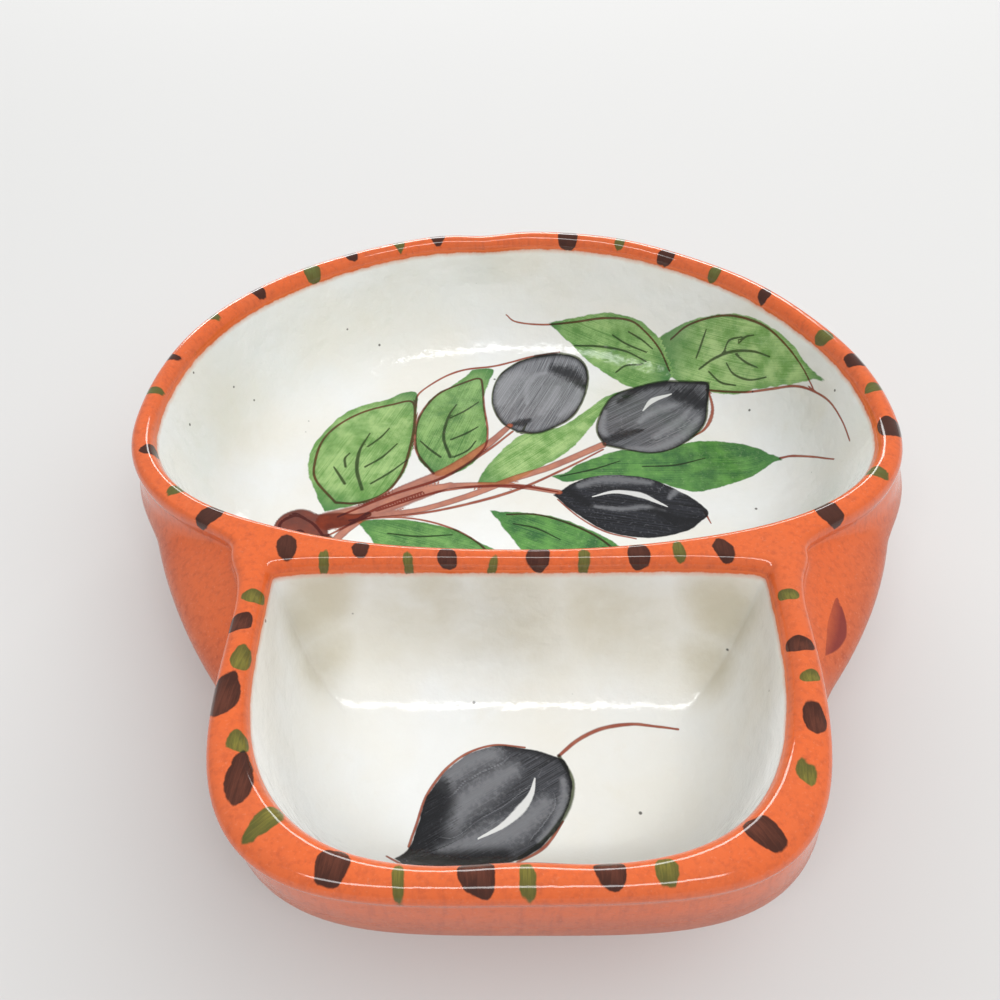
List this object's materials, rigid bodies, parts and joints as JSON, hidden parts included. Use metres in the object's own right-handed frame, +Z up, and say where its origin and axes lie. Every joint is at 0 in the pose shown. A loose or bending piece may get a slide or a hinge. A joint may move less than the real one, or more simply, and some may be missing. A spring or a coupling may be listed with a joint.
{
  "type": "olive dish",
  "caption": "Glazed terracotta olive dish: a wide oval bowl for olives with a small straight-sided bowl joined in front for the pits.",
  "frame": {"origin": "middle of the footprint on the surface that the dish stands on", "axes": "+Z up, -Y towards the pit bowl and the person it is served to, +X to that person's right"},
  "size_m": [0.1702, 0.1806, 0.04],
  "materials": {
    "red_clay": "clear-glazed red terracotta, glossy rim, softer glaze on the outer wall",
    "cream_slip": "cream slip under a clear gloss glaze, with painted olives and leaves"
  },
  "bodies": {
    "root": {"main_bowl": "red_clay", "pit_bowl": "red_clay", "main_slip_coat": "cream_slip", "pit_slip_coat": "cream_slip"}
  },
  "joints": []
}
